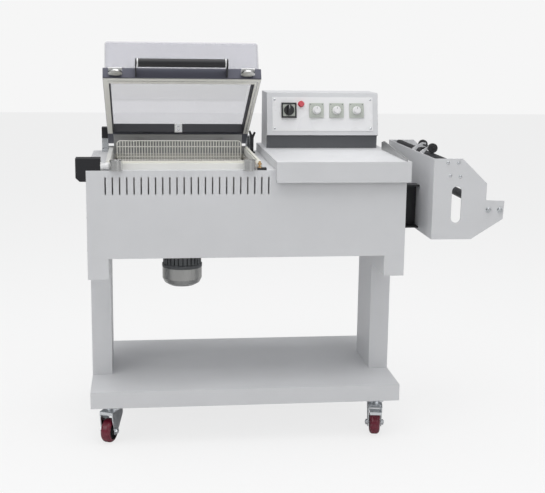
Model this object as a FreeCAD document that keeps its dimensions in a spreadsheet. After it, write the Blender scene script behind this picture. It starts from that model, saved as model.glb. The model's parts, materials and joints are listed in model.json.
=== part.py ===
import FreeCAD, Part
import math
import os
import re
import Sketcher
from FreeCAD import Vector

# L-bar sealer with a shrink chamber, as a parametric document.
# Frame: +X to the right along the machine, +Y from the operator to the back, +Z up.
# The origin is on the floor, under the middle of the whole machine.
# Every length below is in millimetres.

DOCUMENT = FreeCAD.newDocument("l_bar_sealer")

DIMENSIONS = {
    # places of the main lines of the machine
    "body_left": -618, "body_front": -283, "top_height": 852,
    # body casing, legs and shelf
    "body_width": 960, "body_depth": 560, "body_height": 264, "sheet": 2,
    "rail_width": 62, "rail_height": 63, "leg_depth": 200, "leg_start": 176,
    "shelf_drop": 678, "shelf_thick": 52, "floor_gap": 122,
    "vent_first": 53.5, "vent_pitch": 21, "vent_count": 24, "vent_width": 4,
    "vent_height": 51, "vent_drop": 71,
    # shrink chamber
    "chamber_left": 74, "chamber_front": 60, "chamber_width": 428, "chamber_depth": 390,
    "tub_depth": 190, "tub_wall": 1.5, "tub_flange": 4, "grid_wire": 2, "grid_pitch": 9,
    # lower jaws
    "jaw_height": 18, "rubber_height": 6, "jaw_front": 26, "jaw_depth": 28, "bar_width": 14,
    # hood, drawn closed and stored open
    "hood_left": 51, "hood_front": 18, "hood_width": 470, "hood_bar": 18, "hood_bar_front": 40,
    "hood_height": 31, "hood_lift": 26.6, "hood_open": 27, "hood_rear": 466, "hinge_y": 545,
    "hinge_z": 35, "hinge_radius": 6, "dome_height": 92, "dome_wall": 3, "dome_inset": 5, "dome_round": 9,
    "magnet_radius": 19, "magnet_height": 31, "magnet_left": 88, "magnet_right": 479.5,
    "magnet_y": 2, "disc_radius": 21, "handle_length": 256, "handle_radius": 12.5,
    "handle_left": 155, "handle_y": -18, "handle_z": 58,
    # work table and control box
    "table_left": 560, "table_width": 408, "table_front": -24, "table_depth": 586,
    "table_top": 27, "apron": 62,
    "box_left": 575, "box_width": 373, "box_height": 138, "box_base": 71, "box_front": 365,
    "box_back": 535, "box_lean": 29, "panel_width": 338, "panel_height": 112,
    "switch_x": 73, "dial_x": 165, "dial_pitch": 67.5, "lamp_x": 114, "control_rise": 82,
    "lamp_rise": 103, "dial_size": 48,
    # film cradle
    "cradle_left": 1040, "cradle_front": -10, "cradle_depth": 604, "cradle_sheet": 5,
    "cradle_top": 35, "cradle_bottom": 213, "roller_radius": 14, "roller_pin": 6,
    "roller_drop": 123, "roller_near": 36, "roller_far": 193, "guide_x": 38, "guide_z": 22,
    "guide_radius": 13, "punch_radius": 15, "punch_rise": 28.5, "bore_depth": 3,
    # castors
    "castor_wheel": 37.5, "castor_width": 32, "castor_trail": 24, "castor_x": 64, "castor_y": 62,
    "castor_play": 3, "axle_radius": 5, "stem_radius": 10,
    # hot air fan
    "motor_radius": 65, "motor_x": 290, "motor_y": 278, "shaft_radius": 7, "fan_radius": 75,
}


def make_sheet():
    """Write every driving dimension into a spreadsheet cell with a name of its own."""
    sheet = DOCUMENT.addObject("Spreadsheet::Sheet", "dims")
    for row, (alias, value) in enumerate(DIMENSIONS.items(), start=1):
        sheet.set(f"A{row}", alias)
        sheet.set(f"B{row}", str(value))
        sheet.setAlias(f"B{row}", alias)
    DOCUMENT.recompute()
    return sheet


SHEET = make_sheet()
WORD = re.compile(r"\b[a-z]+(?:_[a-z]+)*\b")


def cell(formula):
    """Turn a formula in dimension names into one that reads the spreadsheet."""
    def swap(found):
        word = found.group(0)
        return f"dims.{word}" if word in DIMENSIONS else word
    return WORD.sub(swap, str(formula))


def value(formula):
    """Work a formula in dimension names out as a number."""
    result = SHEET.evalExpression(cell(formula))
    return float(getattr(result, "Value", result))


def bind(item, prop, formula):
    """Bind one property of an object to a formula in dimension names."""
    item.setExpression(prop, cell(formula))


def place(item, x, y, z):
    """Put a sub-part at x, y, z from the body casing's left, front and top lines."""
    bind(item, "Placement.Base.x", f"body_left + {x}")
    bind(item, "Placement.Base.y", f"body_front + {y}")
    bind(item, "Placement.Base.z", f"top_height + {z}")


SUBPARTS = []


def keep(item, label):
    """List an object as a sub-part under the name of its node."""
    item.Label = label
    SUBPARTS.append(item)
    return item


def new_piece(label, x="0", y="0", z="0"):
    """Start a sketched solid that is one of several in a sub-part."""
    body = DOCUMENT.addObject("PartDesign::Body", "body_" + label)
    place(body, x, y, z)
    return body


def new_body(label, x="0", y="0", z="0"):
    """Start a sub-part made of sketched features."""
    return keep(new_piece(label, x, y, z), label)


def rectangle(x, y, width, height):
    """Corner points of an upright rectangle, as formulas."""
    right, top = f"{x} + {width}", f"{y} + {height}"
    return [(x, y), (right, y), (right, top), (x, top)]


def circle(x, y, radius):
    """A circle, as formulas for its centre and radius."""
    return ("circle", x, y, radius)


def hexagon(x, y, radius):
    """Corner points of a hexagon about a centre given by formulas."""
    turns = [math.radians(60 * k) for k in range(6)]
    return [(f"{x} + {radius * math.cos(turn):.4f}", f"{y} + {radius * math.sin(turn):.4f}")
            for turn in turns]


def plane_of(body, role):
    """One of a body's own origin planes."""
    return next(item for item in body.Origin.OriginFeatures if item.Role == role)


def sketch(body, role, loops, offset="0"):
    """Draw closed loops on one of a body's own planes, every point bound to its formula."""
    drawing = body.newObject("Sketcher::SketchObject", body.Name + "_sketch")
    drawing.AttachmentSupport = [(plane_of(body, role), "")]
    drawing.MapMode = "FlatFace"
    bind(drawing, "AttachmentOffset.Base.z", f"-({offset})" if role == "XZ_Plane" else offset)
    for loop in loops:
        if loop[0] == "circle":
            draw_circle(drawing, *loop[1:])
        else:
            draw_polygon(drawing, loop)
    return drawing


def fix_point(drawing, edge, end, x, y):
    """Hold one point of a drawing at a place given by two formulas."""
    for kind, formula in (("DistanceX", x), ("DistanceY", y)):
        number = drawing.addConstraint(
            Sketcher.Constraint(kind, -1, 1, edge, end, value(formula)))
        drawing.setExpression(f"Constraints[{number}]", cell(formula))


def draw_polygon(drawing, points):
    """Add a closed run of straight lines."""
    spots = [Vector(value(x), value(y), 0) for x, y in points]
    count = len(spots)
    first = drawing.GeometryCount
    for index in range(count):
        drawing.addGeometry(Part.LineSegment(spots[index], spots[(index + 1) % count]))
    for index in range(count):
        following = first + (index + 1) % count
        drawing.addConstraint(Sketcher.Constraint("Coincident", first + index, 2, following, 1))
        fix_point(drawing, first + index, 1, *points[index])


def draw_circle(drawing, x, y, radius):
    """Add a circle."""
    centre = Vector(value(x), value(y), 0)
    edge = drawing.addGeometry(Part.Circle(centre, Vector(0, 0, 1), value(radius)))
    number = drawing.addConstraint(Sketcher.Constraint("Radius", edge, value(radius)))
    drawing.setExpression(f"Constraints[{number}]", cell(radius))
    fix_point(drawing, edge, 3, x, y)


def pad(body, role, loops, length, offset="0", back=False):
    """Raise loops drawn on a plane into a solid."""
    feature = body.newObject("PartDesign::Pad", body.Name + "_pad")
    feature.Profile = sketch(body, role, loops, offset)
    bind(feature, "Length", length)
    feature.Reversed = back
    return feature


def pocket(body, role, loops, depth, offset="0", back=False):
    """Cut loops drawn on a plane out of the solid, against the plane's own direction."""
    feature = body.newObject("PartDesign::Pocket", body.Name + "_pocket")
    feature.Profile = sketch(body, role, loops, offset)
    bind(feature, "Length", depth)
    feature.Reversed = back
    return feature


def repeat(body, feature, role, axis, step, count):
    """Repeat a feature along a sketch axis."""
    pattern = body.newObject("PartDesign::LinearPattern", body.Name + "_pattern")
    pattern.Originals = [feature]
    pattern.Direction = (feature.Profile[0], [axis])
    if hasattr(pattern, "Mode"):
        pattern.Mode = "Spacing"
        bind(pattern, "Offset", step)
    else:
        bind(pattern, "Length", f"({step}) * ({count} - 1)")
    bind(pattern, "Occurrences", count)
    body.Tip = pattern
    return pattern


def turn(item, angle, axis=Vector(1, 0, 0)):
    """Turn a placed sub-part about an axis through its own origin, in degrees."""
    item.Placement.Rotation = FreeCAD.Rotation(axis, angle)


def running(radius):
    """Bore radius that gives a pin of this radius a running fit."""
    return f"{radius} + 0.05"


def group(label, items):
    """Keep several equal loose solids together as one sub-part."""
    compound = DOCUMENT.addObject("Part::Compound", "group_" + label)
    compound.Links = items
    return keep(compound, label)


def cylinder(name, radius, length, x, y, z, axis=None):
    """A plain cylinder from a point given from the casing's corner."""
    item = DOCUMENT.addObject("Part::Cylinder", name)
    bind(item, "Radius", radius)
    bind(item, "Height", length)
    place(item, x, y, z)
    if axis is not None:
        item.Placement.Rotation = FreeCAD.Rotation(Vector(0, 0, 1), axis)
    return item


def block(name, size, x, y, z):
    """A plain block from a point given from the casing's corner."""
    item = DOCUMENT.addObject("Part::Box", name)
    for prop, formula in zip(("Length", "Width", "Height"), size):
        bind(item, prop, formula)
    place(item, x, y, z)
    return item


def around(body, feature, role, count):
    """Repeat a feature evenly in a full turn about one of the body's own axes."""
    pattern = body.newObject("PartDesign::PolarPattern", body.Name + "_pattern")
    pattern.Originals = [feature]
    axis = next(item for item in body.Origin.OriginFeatures if item.Role == role)
    pattern.Axis = (axis, [""])
    pattern.Angle = 360
    pattern.Occurrences = count
    body.Tip = pattern
    return pattern


def revolve(body, role, loops, axis="V_Axis"):
    """Turn loops a full circle about an axis of their own sketch."""
    feature = body.newObject("PartDesign::Revolution", body.Name + "_revolution")
    feature.Profile = sketch(body, role, loops)
    feature.ReferenceAxis = (feature.Profile[0], [axis])
    feature.Angle = 360
    return feature


# ---------------------------------------------------------------- casing, legs and shelf

def make_body_shell():
    """Folded casing, open below, with the chamber's opening and the row of vents."""
    body = new_body("body_shell", z="-body_height")
    pad(body, "XY_Plane", [rectangle("0", "0", "body_width", "body_depth")], "body_height")
    pocket(body, "XY_Plane", [rectangle("sheet", "sheet", "body_width - 2 * sheet",
                                        "body_depth - 2 * sheet")],
           "body_height - sheet", back=True)
    pocket(body, "XY_Plane", [rectangle("chamber_left", "chamber_front", "chamber_width",
                                        "chamber_depth")],
           "2 * sheet", offset="body_height")
    vent = pocket(body, "XZ_Plane", [rectangle("vent_first", "body_height - vent_drop",
                                               "vent_width", "vent_height")], "2 * sheet")
    repeat(body, vent, "XZ_Plane", "H_Axis", "vent_pitch", "vent_count")


def make_body_base():
    """Floor of the casing, with the hole that the fan motor hangs through."""
    body = new_body("body_base", "sheet + 0.2", "sheet + 0.2", "-body_height")
    wide, deep = "body_width - 2 * sheet - 0.4", "body_depth - 2 * sheet - 0.4"
    hole = circle("motor_x - sheet - 0.2", "motor_y - sheet - 0.2", "motor_radius + 2")
    pad(body, "XY_Plane", [rectangle("0", "0", wide, deep), hole], "sheet")


def make_rails():
    """Two capped square tubes across the machine, one under each end of the casing."""
    rails = []
    for side, x in (("left", "0"), ("right", "body_width - rail_width")):
        rail = new_piece("rail_" + side, x, "0", "-body_height - rail_height")
        inner = rectangle("sheet", "sheet", "rail_width - 2 * sheet", "rail_height - 2 * sheet")
        outer = rectangle("0", "0", "rail_width", "rail_height")
        pad(rail, "XZ_Plane", [outer, inner], "body_depth", back=True)
        for end in ("0", "body_depth - sheet"):
            pad(rail, "XZ_Plane", [outer], "sheet", offset=end, back=True)
        drains = [circle("rail_width / 2", y, "6") for y in ("30", "body_depth - 30")]
        pocket(rail, "XY_Plane", drains, "sheet", offset="sheet")
        rails.append(rail)
    group("rails", rails)


def make_leg(label, x):
    """Broad flat tube that carries one rail on the shelf."""
    body = new_body(label, x, "leg_start", "-shelf_drop")
    inner = rectangle("sheet", "sheet", "rail_width - 2 * sheet", "leg_depth - 2 * sheet")
    pad(body, "XY_Plane", [rectangle("0", "0", "rail_width", "leg_depth"), inner],
        "shelf_drop - body_height - rail_height")


def make_shelf():
    """Folded tray, open below, that ties the two legs."""
    body = new_body("shelf", "0", "-3", "-shelf_drop - shelf_thick")
    pad(body, "XY_Plane", [rectangle("0", "0", "body_width", "body_depth + 3")], "shelf_thick")
    pocket(body, "XY_Plane", [rectangle("sheet", "sheet", "body_width - 2 * sheet",
                                        "body_depth + 3 - 2 * sheet")],
           "shelf_thick - sheet", back=True)
    for x in ("1", "body_width - castor_x - 57"):
        for y in ("1", "body_depth - castor_y - 43"):
            pad(body, "XY_Plane", [rectangle(x, y, "castor_x + 56", "castor_y + 45")], "3")


# ---------------------------------------------------------------- shrink chamber

def make_chamber_tub():
    """Sheet tub with a flange that rests on the casing, a fan hole and two air slots."""
    body = new_body("chamber_tub", "chamber_left + 0.5", "chamber_front + 0.5", "-tub_depth")
    wide, deep = "chamber_width - 1", "chamber_depth - 1"
    pad(body, "XY_Plane", [rectangle("0", "0", wide, deep)], "tub_depth")
    flange = rectangle("-tub_flange", "-tub_flange", f"{wide} + 2 * tub_flange",
                       f"{deep} + 2 * tub_flange")
    pad(body, "XY_Plane", [flange], "tub_wall", offset="tub_depth")
    hollow = rectangle("tub_wall", "tub_wall", f"{wide} - 2 * tub_wall",
                       f"{deep} - 2 * tub_wall")
    pocket(body, "XY_Plane", [hollow], "tub_depth + 2 * tub_wall", offset="tub_wall", back=True)
    hole = circle("motor_x - chamber_left - 0.5", "motor_y - chamber_front - 0.5",
                  "shaft_radius + 8")
    pocket(body, "XY_Plane", [hole], "3 * tub_wall", back=True)
    slots = [rectangle(x, "tub_depth - 70", "22", "55") for x in ("76", "340")]
    pocket(body, "XZ_Plane", slots, "6", offset=f"{deep} - 4")


def make_product_grid():
    """Wire tray that carries the product, with an upright wire fence at its back edge."""
    wide, rise = "chamber_width - 12", "67"
    body = new_body("product_grid", "chamber_left + 6", "chamber_front + 6", "-20")
    pad(body, "XY_Plane", [rectangle("0", "0", wide, "chamber_depth - 18")], "grid_wire")
    cell_wide = "2 * grid_pitch - grid_wire"
    mesh = pocket(body, "XY_Plane", [rectangle("4", f"4 + 61 * {row}", cell_wide, "58")
                                     for row in range(6)],
                  "2 * grid_wire", offset="2 * grid_wire")
    repeat(body, mesh, "XY_Plane", "H_Axis", "2 * grid_pitch", "22")
    fence = rectangle("0", "0", wide, rise)
    pad(body, "XZ_Plane", [fence], "3", offset="chamber_depth - 18")
    rows = [rectangle("5", low, "grid_pitch - grid_wire", high)
            for low, high in (("3", "7.5"), ("12.5", "30"), ("44.5", "18.5"))]
    gaps = pocket(body, "XZ_Plane", rows, "6", offset="chamber_depth - 22")
    repeat(body, gaps, "XZ_Plane", "H_Axis", "grid_pitch", "45")


def make_heater():
    """Tubular heating element bent to a ring round the fan, with its two leads."""
    ring = DOCUMENT.addObject("Part::Torus", "heater_ring")
    bind(ring, "Radius1", "fan_radius + 35")
    ring.Radius2 = 4
    place(ring, "motor_x", "motor_y", "-tub_depth + 40")
    leads = [cylinder(f"heater_lead_{side}", "3.5", "40 - tub_wall", "motor_x + fan_radius + 35",
                      f"motor_y {side} 12", "-tub_depth + tub_wall") for side in "+-"]
    fused = DOCUMENT.addObject("Part::MultiFuse", "heater_fuse")
    fused.Shapes = [ring] + leads
    keep(fused, "heater")


def make_motor():
    """Fan motor: mounting flange, finned barrel, clamp ring and domed end cover."""
    body = new_body("motor", "motor_x", "motor_y", "-body_height + sheet")
    barrel, cap = "motor_radius - 3", "motor_radius"
    outline = [(running("shaft_radius"), "55"), ("26", "55"), ("26", "47"), (barrel, "40"),
               (barrel, "5"), ("motor_radius + 14", "5"), ("motor_radius + 14", "0"),
               (barrel, "0"), (barrel, "-74"), (cap, "-75"), (cap, "-83"), ("cap_side", "-86"),
               ("cap_side", "-122"), ("cap_side - 7", "-136"), ("cap_side - 22", "-145"),
               ("0", "-146"), ("0", "10"), (running("shaft_radius"), "10")]
    outline = [(x.replace("cap_side", "motor_radius - 1"), z) for x, z in outline]
    revolve(body, "XZ_Plane", [outline])
    groove = pocket(body, "XY_Plane", [rectangle("motor_radius - 9", "-2", "8", "4")], "60",
                    offset="-12")
    around(body, groove, "Z_Axis", 28)


def make_impeller():
    """Centrifugal fan wheel on the motor's shaft: back plate, curved-in blades and rim."""
    body = new_body("impeller", "motor_x", "motor_y", "-tub_depth + 12")
    hub = pad(body, "XY_Plane", [circle("0", "0", "fan_radius")], "2")
    pad(body, "XY_Plane", [circle("0", "0", "shaft_radius + 9")], "26")
    pad(body, "XY_Plane", [circle("0", "0", "shaft_radius")], "67", back=True)
    blade = pad(body, "XY_Plane", [[("fan_radius * 0.55", "-2"), ("fan_radius * 0.97", "14"),
                                    ("fan_radius * 0.96", "17"), ("fan_radius * 0.55", "1")]],
                "38")
    around(body, blade, "Z_Axis", 14)
    rim = [circle("0", "0", "fan_radius"), circle("0", "0", "fan_radius - 10")]
    pad(body, "XY_Plane", rim, "2", offset="38")
    return hub


# ---------------------------------------------------------------- lower jaws and hold-down

def make_lower_jaws():
    """L-shaped lower jaw at the front and right of the chamber, and its silicone strip."""
    right = "hood_left + hood_width"
    jaw = new_piece("seal_base")
    pad(jaw, "XY_Plane", [[("hood_left + 5", "jaw_front"), (right, "jaw_front"), (right, "462"),
                           (f"{right} - bar_width", "462"),
                           (f"{right} - bar_width", "jaw_front + jaw_depth"),
                           ("hood_left + 5", "jaw_front + jaw_depth")]], "jaw_height")
    strip = new_body("seal_rubber", z="jaw_height")
    pad(strip, "XY_Plane", [[("hood_left + 10", "jaw_front + 8"), (f"{right} - 3", "jaw_front + 8"),
                             (f"{right} - 3", "456"), (f"{right} - 11", "456"),
                             (f"{right} - 11", "jaw_front + 20"),
                             ("hood_left + 10", "jaw_front + 20")]], "rubber_height")
    bar = new_piece("frame_left", "hood_left + 5", "jaw_front + jaw_depth + 0.5")
    pad(bar, "XY_Plane", [rectangle("0", "0", "bar_width - 1", "407")], "21")
    group("lower_jaw", [jaw, bar])


def make_rear_guard():
    """Flat air duct across the back of the chamber's edge, with two slots in its face."""
    body = new_body("rear_guard", "hood_left + hood_bar + 2", "hood_rear + 8")
    wide = "hood_width - 2 * hood_bar - 4"
    pad(body, "YZ_Plane", [rectangle("0", "0", "14", "65"),
                           rectangle("sheet", "sheet", "14 - 2 * sheet", "65 - 2 * sheet")], wide)
    for x in ("-hood_bar - 1", f"{wide} - 1"):
        pad(body, "YZ_Plane", [rectangle("0", "0", "14", "23")], "hood_bar + 2", offset=x)
    pocket(body, "XZ_Plane", [rectangle(x, "8", "22", "44") for x in ("76", "342")], "sheet")


def make_magnets():
    """Two round pot magnets that hold the hood shut: shell, ring gap and middle pole."""
    magnets = []
    for side in ("magnet_left", "magnet_right"):
        pot = new_piece(side, side, "magnet_y", "0")
        pad(pot, "XY_Plane", [circle("0", "0", "magnet_radius")], "magnet_height")
        pocket(pot, "XY_Plane", [circle("0", "0", "magnet_radius - 4"), circle("0", "0", "8")],
               "2.5", offset="magnet_height")
        magnets.append(pot)
    group("magnets", magnets)


def make_switch():
    """Closing switch in an angled housing on the casing's front left corner, and its gland."""
    body = new_body("switch_housing", "0", "2", "0")
    pad(body, "XZ_Plane", [[("42", "0"), ("42", "35"), ("-30", "35"), ("-30", "-22"),
                            ("-18", "-33"), ("-0.3", "-33"), ("-0.3", "0")]], "50", back=True)
    gland = new_body("switch_gland", "42", "14", "12")
    pad(gland, "YZ_Plane", [circle("0", "0", "11.5")], "8")
    pad(gland, "YZ_Plane", [circle("0", "0", "9")], "20")
    pad(gland, "YZ_Plane", [circle("0", "0", "11")], "25.5", offset="0")
    pocket(gland, "YZ_Plane", [circle("0", "0", "12"), circle("0", "0", "9")], "7", offset="15")


def make_terminal():
    """Terminal of the sealing wire: insulating block and brass post with its nut."""
    base = new_piece("terminal_base", "505", "3", "0")
    pad(base, "XY_Plane", [rectangle("0", "0", "27", "20")], "7")
    post = new_piece("terminal_post", "512", "12", "7")
    pad(post, "XY_Plane", [circle("0", "0", "6.5")], "2")
    pad(post, "XY_Plane", [circle("0", "0", "3")], "19")
    pad(post, "XY_Plane", [hexagon("0", "0", 6)], "5", offset="9")
    group("wire_terminal", [base, post])


def make_hinge_blocks():
    """Blocks on the casing that carry the hood's two hinge pins."""
    left = new_piece("hinge_block_left", "hood_left - 21.3", "hinge_y", "0")
    pad(left, "YZ_Plane", [[("-25", "0"), ("15", "0"), ("15", "46"), ("-11", "46"),
                            ("-11", "10"), ("-25", "10")]], "21")
    pocket(left, "YZ_Plane", [circle("0", "hinge_z", "hinge_radius")], "30", offset="21")
    right = new_piece("hinge_block_right", "hood_left + hood_width + 0.3", "hinge_y", "0")
    pad(right, "YZ_Plane", [[("-25", "0"), ("15", "0"), ("15", "52"), ("-11", "52"),
                             ("-11", "10"), ("-25", "10")]], "21")
    pocket(right, "YZ_Plane", [circle("0", "hinge_z", "hinge_radius")], "30", offset="21")
    buffer = block("buffer", ("21", "45", "36"), "hood_left - 21.3", "hinge_y - 30", "46")
    group("hinge_blocks", [left, right, buffer])
    pins = [cylinder(f"hinge_pin_{side}", "hinge_radius", "38", x, "hinge_y", "hinge_z",
                     Vector(1, 0, 0))
            for side, x in (("left", "hood_left - 21"),
                            ("right", "hood_left + hood_width - 17"))]
    group("hinge_pins", pins)


def make_limit_switch():
    """Upright switch beside the hood's right arm, with its forked lever."""
    body = new_body("limit_switch", "530", "470", "0")
    pad(body, "XZ_Plane", [[("-5", "0"), ("16", "0"), ("16", "4"), ("11", "4"), ("11", "52"),
                            ("18", "70"), ("13", "72"), ("7", "60"), ("0", "76"), ("-5", "74"),
                            ("0", "52"), ("0", "4"), ("-5", "4")]], "14", back=True)


# ---------------------------------------------------------------- work table and controls

def make_work_table():
    """Folded loading table that overhangs the front and the right side of the casing."""
    body = new_body("work_table", "table_left", "table_front", "table_top - apron")
    lower = "apron - table_top"
    pad(body, "XY_Plane", [rectangle("0", "0", "table_width", "table_depth")], "apron")
    pocket(body, "XY_Plane", [rectangle("sheet", "sheet", "table_width - 2 * sheet",
                                        "table_depth - 2 * sheet")], "apron - sheet", back=True)
    # the left and back skirts stop on top of the casing
    pocket(body, "XY_Plane", [rectangle("-1", "-table_front - 0.3",
                                        "body_width - table_left + 1.3",
                                        "table_depth")], f"{lower} + 0.2", back=True)


def make_separator():
    """Wedge-shaped film separator on the table's right edge."""
    body = new_body("film_separator", "table_left + table_width - 14", "0", "table_top")
    pad(body, "YZ_Plane", [[("-16", "0"), ("335", "0"), ("335", "24"), ("300", "31"),
                            ("-16", "7")]], "3")


def make_control_box():
    """Control cabinet with a face that leans back above a recessed plinth."""
    body = new_body("control_box", "box_left", "0", "table_top")
    base, top = "box_base - table_top", "box_base - table_top + box_height"
    outer = [("box_front + 20", "0"), ("box_front + 20", f"{base} - 5"), ("box_front", base),
             ("box_front + box_lean", top), ("box_back", top), ("box_back", "0")]
    pad(body, "YZ_Plane", [outer], "box_width")
    inner = [("box_front + 22", "-5"), ("box_front + 22", f"{base} - 3"),
             ("box_front + 4", f"{base} + 1.5"), ("box_front + box_lean + 1", f"{top} - sheet"),
             ("box_back - sheet", f"{top} - sheet"), ("box_back - sheet", "-5")]
    pocket(body, "YZ_Plane", [inner], "box_width - 2 * sheet", offset="sheet", back=True)


def place_on_panel(item, x, rise, out="0"):
    """Put a sub-part on the cabinet's leaning face, x from its left edge, rise up the face."""
    slope = "sqrt(box_lean * box_lean + box_height * box_height)"
    place(item, f"box_left + {x}",
          f"box_front + (({rise}) * box_lean - ({out}) * box_height) / {slope}",
          f"box_base + (({rise}) * box_height + ({out}) * box_lean) / {slope}")
    turn(item, -math.degrees(math.atan2(value("box_lean"), value("box_height"))))


def make_panel():
    """Face plate and everything that is fixed on it."""
    plate = new_body("control_panel")
    place_on_panel(plate, "0.5 * (box_width - panel_width)", "14")
    pad(plate, "XZ_Plane", [rectangle("0", "0", "panel_width", "panel_height")], "1.5")
    cam = new_body("switch_plate")
    place_on_panel(cam, "switch_x", "control_rise", "1.5")
    pad(cam, "XZ_Plane", [rectangle("-25", "-25", "50", "50")], "6")
    pocket(cam, "XZ_Plane", [rectangle("-20", "-20", "40", "40")], "2", offset="-6")
    pocket(cam, "XZ_Plane", [circle("0", "0", running("4"))], "10", offset="-6")
    lamp = new_body("pilot_lamp")
    place_on_panel(lamp, "lamp_x", "lamp_rise", "1.5")
    pad(lamp, "XZ_Plane", [circle("0", "0", "10.5")], "3")
    pad(lamp, "XZ_Plane", [circle("0", "0", "8")], "9")
    bezels = []
    for number in range(3):
        bezel = DOCUMENT.addObject("Part::Box", f"bezel_{number}")
        bind(bezel, "Length", "dial_size")
        bind(bezel, "Height", "dial_size")
        bezel.Width = 5
        place_on_panel(bezel, f"dial_x + {number} * dial_pitch - dial_size / 2",
                       "control_rise - dial_size / 2", "6.5")
        bore = DOCUMENT.addObject("Part::Cylinder", f"bezel_bore_{number}")
        bore.Radius = 3.05
        bore.Height = 10
        place_on_panel(bore, f"dial_x + {number} * dial_pitch", "control_rise", "8")
        bore.Placement.Rotation = bore.Placement.Rotation.multiply(
            FreeCAD.Rotation(Vector(0, 0, 1), Vector(0, 1, 0)))
        cut = DOCUMENT.addObject("Part::Cut", f"bezel_cut_{number}")
        cut.Base = bezel
        cut.Tool = bore
        bezels.append(cut)
    group("dial_plates", bezels)


def make_knobs():
    """The turning knobs: the main switch's bar knob and the three round dials."""
    knob = new_body("switch_knob")
    place_on_panel(knob, "switch_x", "control_rise", "5.8")
    pad(knob, "XZ_Plane", [circle("0", "0", "17")], "5")
    pad(knob, "XZ_Plane", [rectangle("-5", "-16", "10", "32")], "18")
    pad(knob, "XZ_Plane", [circle("0", "0", "4")], "4", back=True)
    for number, label in enumerate(("heat_dial", "seal_dial", "cool_dial")):
        dial = new_body(label)
        place_on_panel(dial, f"dial_x + {number} * dial_pitch", "control_rise", "6.8")
        pad(dial, "XZ_Plane", [circle("0", "0", "14")], "3")
        pad(dial, "XZ_Plane", [circle("0", "0", "10.5")], "14")
        pad(dial, "XZ_Plane", [circle("0", "0", "3")], "4", back=True)


# ---------------------------------------------------------------- hood

def place_hood(item):
    """Put a hood piece in the open hood: its own origin is on the hinge axis."""
    place(item, "hood_left", "hinge_y", "hinge_z")
    turn(item, -value("hood_open"))


def new_hood_piece(label):
    """Start a solid of the hood, drawn as if the hood were shut."""
    body = new_piece(label)
    place_hood(body)
    return body


def new_hood_body(label):
    """Start a sub-part of the hood, drawn as if the hood were shut."""
    return keep(new_hood_piece(label), label)


FRONT = "hood_front - hinge_y"
REAR = "hood_rear - hinge_y"
UNDER = "hood_lift - hinge_z"


def make_hood_frame():
    """Hood frame: front bar, side bars that run back as hinge arms, and rear bar."""
    body = new_hood_body("hood_frame")
    inner = rectangle("hood_bar", f"{FRONT} + hood_bar_front", "hood_width - 2 * hood_bar",
                      "hood_rear - hood_front - hood_bar_front - 14")
    outer = [("0", FRONT), ("hood_width", FRONT), ("hood_width", "14"),
             ("hood_width - hood_bar", "14"), ("hood_width - hood_bar", REAR),
             ("hood_bar", REAR), ("hood_bar", "14"), ("0", "14")]
    pad(body, "XY_Plane", [outer, inner], "hood_height", offset=UNDER)
    pocket(body, "YZ_Plane", [circle("0", "0", running("hinge_radius"))], "hood_width + 2",
           offset="hood_width + 1")
    discs = [circle(f"{x} - hood_left", "magnet_y - hinge_y", "disc_radius + 1.2")
             for x in ("magnet_left", "magnet_right")]
    pocket(body, "XY_Plane", discs, "14", offset="magnet_height - hinge_z + 7")
    # the arms' ends are cut back above and below so that they clear the casing's top
    for z in (UNDER + " - 1", "12"):
        pocket(body, "YZ_Plane", [[("4", z), ("16", z), ("16", f"{z} + 12"), ("12", f"{z} + 12")]],
               "hood_width + 2", offset="hood_width + 1")


def make_dome():
    """Clear moulded cover over the hood frame, open below, with rounded corners."""
    body = new_hood_body("hood_dome")
    wide, deep = "hood_width - 2 * dome_inset", "hood_rear - hood_front - 12"
    box = pad(body, "XY_Plane", [rectangle("dome_inset", f"{FRONT} + 6", wide, deep)],
              "dome_height", offset=f"{UNDER} + hood_height")
    DOCUMENT.recompute()
    low = box.Shape.BoundBox.ZMin
    edges = [f"Edge{number}" for number, edge in enumerate(box.Shape.Edges, 1)
             if edge.BoundBox.ZMax > low + 1]
    corners = body.newObject("PartDesign::Fillet", "dome_corners")
    corners.Base = (box, edges)
    bind(corners, "Radius", "dome_round")
    DOCUMENT.recompute()
    rims = [f"Face{number}" for number, face in enumerate(corners.Shape.Faces, 1)
            if face.BoundBox.ZMax < low + 1]
    shell = body.newObject("PartDesign::Thickness", "dome_shell")
    shell.Base = (corners, rims)
    shell.Reversed = True
    bind(shell, "Value", "dome_wall")


def make_upper_jaw():
    """Woven PTFE facing of the upper jaw, under the hood's front and side bars."""
    body = new_hood_body("upper_jaw")
    right, inside = "hood_width - 1", f"{FRONT} + hood_bar_front - 2"
    pad(body, "XY_Plane", [[("1", f"{FRONT} + 4.5"), (right, f"{FRONT} + 4.5"), (right, "-90"),
                            (f"{right} - 16", "-90"), (f"{right} - 16", inside),
                            ("17", inside), ("17", "-90"), ("1", "-90")]], "1.9",
        offset=f"{UNDER} - 1.9")


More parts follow.
